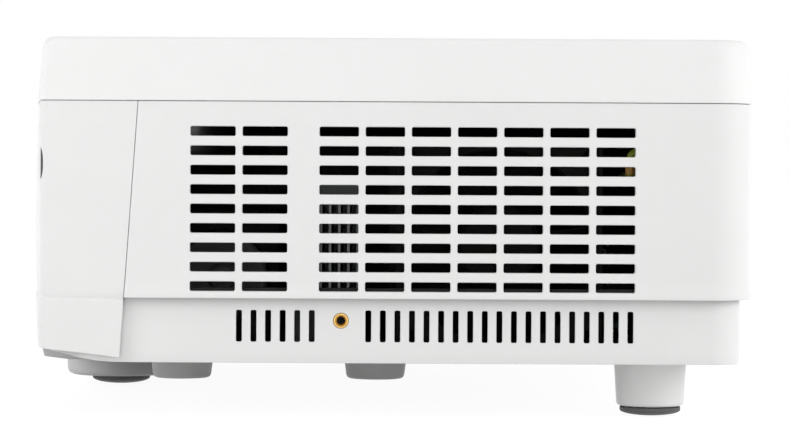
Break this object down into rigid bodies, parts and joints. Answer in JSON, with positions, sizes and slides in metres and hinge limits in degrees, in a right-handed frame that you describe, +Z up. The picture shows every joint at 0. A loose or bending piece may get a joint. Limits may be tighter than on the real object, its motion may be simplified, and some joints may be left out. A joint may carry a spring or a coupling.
{
  "type": "projector with built in disc player",
  "caption": "White table-top projector with a bowed front, vented sides, ceiling-mount bosses, levelling feet and a slim disc player in its top cover.",
  "frame": {"origin": "on the table, under the middle of the case", "axes": "-Y the way the lens looks, +X the side with the cable anchor, +Z up"},
  "size_m": [0.312, 0.22, 0.1104],
  "materials": {
    "white_shell": "satin",
    "pale_panel": "fine texture",
    "button_plastic": "satin",
    "grey_plastic": "fine texture",
    "black_plastic": "satin",
    "window_black": "gloss",
    "light_pipe": "gloss",
    "rubber": "matte",
    "steel": "brushed",
    "brass": "satin",
    "cast_metal": "cast",
    "aluminium": "extruded",
    "copper": "satin",
    "board": "satin",
    "lens_glass": "coated",
    "wheel_glass": "polished",
    "lead_yellow": "satin"
  },
  "bodies": {
    "case": {"top_cover": "white_shell", "side_case": "white_shell", "bottom_case": "white_shell", "front_cover": "white_shell", "rear_panel": "pale_panel", "lens_bezel": "black_plastic", "remote_window": "window_black", "status_lights": "light_pipe", "cable_anchor": "brass", "ceiling_bosses": "grey_plastic", "ceiling_inserts": "brass", "case_screws": "steel", "front_foot_housing": "grey_plastic", "optical_engine": "cast_metal", "lens_barrel": "black_plastic", "lens_glass": "lens_glass", "wheel_motor": "steel", "imager_board": "board", "imager_heat_sink": "aluminium", "light_module": "cast_metal", "heat_pipes": "copper", "side_heat_sink": "aluminium", "intake_fan_frame": "black_plastic", "exhaust_fan_frame": "black_plastic", "main_board": "board", "video_sockets": "steel", "data_sockets": "steel", "power_supply": "board", "power_inlet": "black_plastic", "earth_lead": "lead_yellow", "speaker": "black_plastic", "keypad_board": "board", "drive_case": "steel"},
    "focus": {"focus_ring": "black_plastic"},
    "zoom": {"zoom_ring": "black_plastic"},
    "wheel": {"colour_wheel": "wheel_glass"},
    "intake_rotor": {"intake_fan_rotor": "black_plastic"},
    "exhaust_rotor": {"exhaust_fan_rotor": "black_plastic"},
    "power": {"power_button": "button_plastic"},
    "source": {"source_button": "button_plastic"},
    "menu": {"menu_button": "button_plastic"},
    "enter": {"enter_button": "button_plastic"},
    "up": {"up_button": "button_plastic"},
    "down": {"down_button": "button_plastic"},
    "left": {"left_button": "button_plastic"},
    "right": {"right_button": "button_plastic"},
    "tray": {"disc_tray": "black_plastic", "tray_front": "white_shell", "spindle_motor": "steel"},
    "rails": {"tray_rails": "steel"},
    "eject": {"eject_button": "button_plastic"},
    "hub": {"disc_hub": "black_plastic"},
    "pickup": {"pickup": "cast_metal"},
    "screw": {"lead_screw": "steel"},
    "front_stud": {"front_foot_stud": "steel"},
    "front_pad": {"front_foot_pad": "rubber"},
    "left_stud": {"left_foot_stud": "steel"},
    "left_pad": {"left_foot_pad": "rubber"},
    "right_stud": {"right_foot_stud": "steel"},
    "right_pad": {"right_foot_pad": "rubber"}
  },
  "joints": [
    {"name": "focus_turn", "type": "hinge", "parent": "case", "child": "focus", "pos_m": [-0.072, -0.086, 0.064], "axis": [0, 1, 0], "range_deg": [-25, 25]},
    {"name": "zoom_turn", "type": "hinge", "parent": "case", "child": "zoom", "pos_m": [-0.072, -0.075, 0.064], "axis": [0, 1, 0], "range_deg": [-25, 25]},
    {"name": "wheel_spin", "type": "hinge", "parent": "case", "child": "wheel", "pos_m": [-0.03, 0.004, 0.062], "axis": [1, 0, 0], "continuous": true},
    {"name": "intake_spin", "type": "hinge", "parent": "case", "child": "intake_rotor", "pos_m": [0.1399, 0.0363, 0.0503], "axis": [1, 0, 0], "continuous": true},
    {"name": "exhaust_spin", "type": "hinge", "parent": "case", "child": "exhaust_rotor", "pos_m": [-0.1399, 0.044, 0.0503], "axis": [1, 0, 0], "continuous": true},
    {"name": "power_press", "type": "slide", "parent": "case", "child": "power", "axis": [0, 0, -1], "range_m": [0, 0.0006], "stiffness_N_per_m": 250, "springref_m": -0.0006},
    {"name": "source_press", "type": "slide", "parent": "case", "child": "source", "axis": [0, 0, -1], "range_m": [0, 0.0006], "stiffness_N_per_m": 250, "springref_m": -0.0006},
    {"name": "menu_press", "type": "slide", "parent": "case", "child": "menu", "axis": [0, 0, -1], "range_m": [0, 0.0006], "stiffness_N_per_m": 250, "springref_m": -0.0006},
    {"name": "enter_press", "type": "slide", "parent": "case", "child": "enter", "axis": [0, 0, -1], "range_m": [0, 0.0006], "stiffness_N_per_m": 250, "springref_m": -0.0006},
    {"name": "up_press", "type": "slide", "parent": "case", "child": "up", "axis": [0, 0, -1], "range_m": [0, 0.0006], "stiffness_N_per_m": 250, "springref_m": -0.0006},
    {"name": "down_press", "type": "slide", "parent": "case", "child": "down", "axis": [0, 0, -1], "range_m": [0, 0.0006], "stiffness_N_per_m": 250, "springref_m": -0.0006},
    {"name": "left_press", "type": "slide", "parent": "case", "child": "left", "axis": [0, 0, -1], "range_m": [0, 0.0006], "stiffness_N_per_m": 250, "springref_m": -0.0006},
    {"name": "right_press", "type": "slide", "parent": "case", "child": "right", "axis": [0, 0, -1], "range_m": [0, 0.0006], "stiffness_N_per_m": 250, "springref_m": -0.0006},
    {"name": "tray_slide", "type": "slide", "parent": "case", "child": "tray", "axis": [-1, 0, 0], "range_m": [0, 0.118]},
    {"name": "rail_slide", "type": "slide", "parent": "case", "child": "rails", "axis": [-1, 0, 0], "range_m": [0, 0.059]},
    {"name": "eject_press", "type": "slide", "parent": "tray", "child": "eject", "axis": [1, 0, 0], "range_m": [0, 0.0006], "stiffness_N_per_m": 200, "springref_m": -0.0006},
    {"name": "disc_spin", "type": "hinge", "parent": "tray", "child": "hub", "pos_m": [-0.0891, 0.014, 0.103], "axis": [0, 0, 1], "continuous": true},
    {"name": "pickup_slide", "type": "slide", "parent": "tray", "child": "pickup", "axis": [1, 0, 0], "range_m": [0, 0.032]},
    {"name": "screw_turn", "type": "hinge", "parent": "tray", "child": "screw", "pos_m": [-0.0591, 0.034, 0.0995], "axis": [1, 0, 0], "range_deg": [0, 3845]},
    {"name": "front_foot_lift", "type": "slide", "parent": "case", "child": "front_stud", "axis": [0, 0, -1], "range_m": [0, 0.012]},
    {"name": "front_foot_turn", "type": "hinge", "parent": "front_stud", "child": "front_pad", "pos_m": [0, -0.0863, 0.0012], "axis": [0, 0, -1], "range_deg": [0, 3460]},
    {"name": "left_foot_lift", "type": "slide", "parent": "case", "child": "left_stud", "axis": [0, 0, -1], "range_m": [0, 0.012]},
    {"name": "left_foot_turn", "type": "hinge", "parent": "left_stud", "child": "left_pad", "pos_m": [-0.126, 0.0822, 0.0012], "axis": [0, 0, -1], "range_deg": [0, 3460]},
    {"name": "right_foot_lift", "type": "slide", "parent": "case", "child": "right_stud", "axis": [0, 0, -1], "range_m": [0, 0.012]},
    {"name": "right_foot_turn", "type": "hinge", "parent": "right_stud", "child": "right_pad", "pos_m": [0.126, 0.0822, 0.0012], "axis": [0, 0, -1], "range_deg": [0, 3460]}
  ],
  "couplings": [
    {"joint": "rail_slide", "follows": "tray_slide", "ratio": 0.5},
    {"joint": "screw_turn", "follows": "pickup_slide", "rad_per_m": 2094.4},
    {"joint": "front_foot_turn", "follows": "front_foot_lift", "rad_per_m": 5026.5},
    {"joint": "left_foot_turn", "follows": "left_foot_lift", "rad_per_m": 5026.5},
    {"joint": "right_foot_turn", "follows": "right_foot_lift", "rad_per_m": 5026.5}
  ]
}
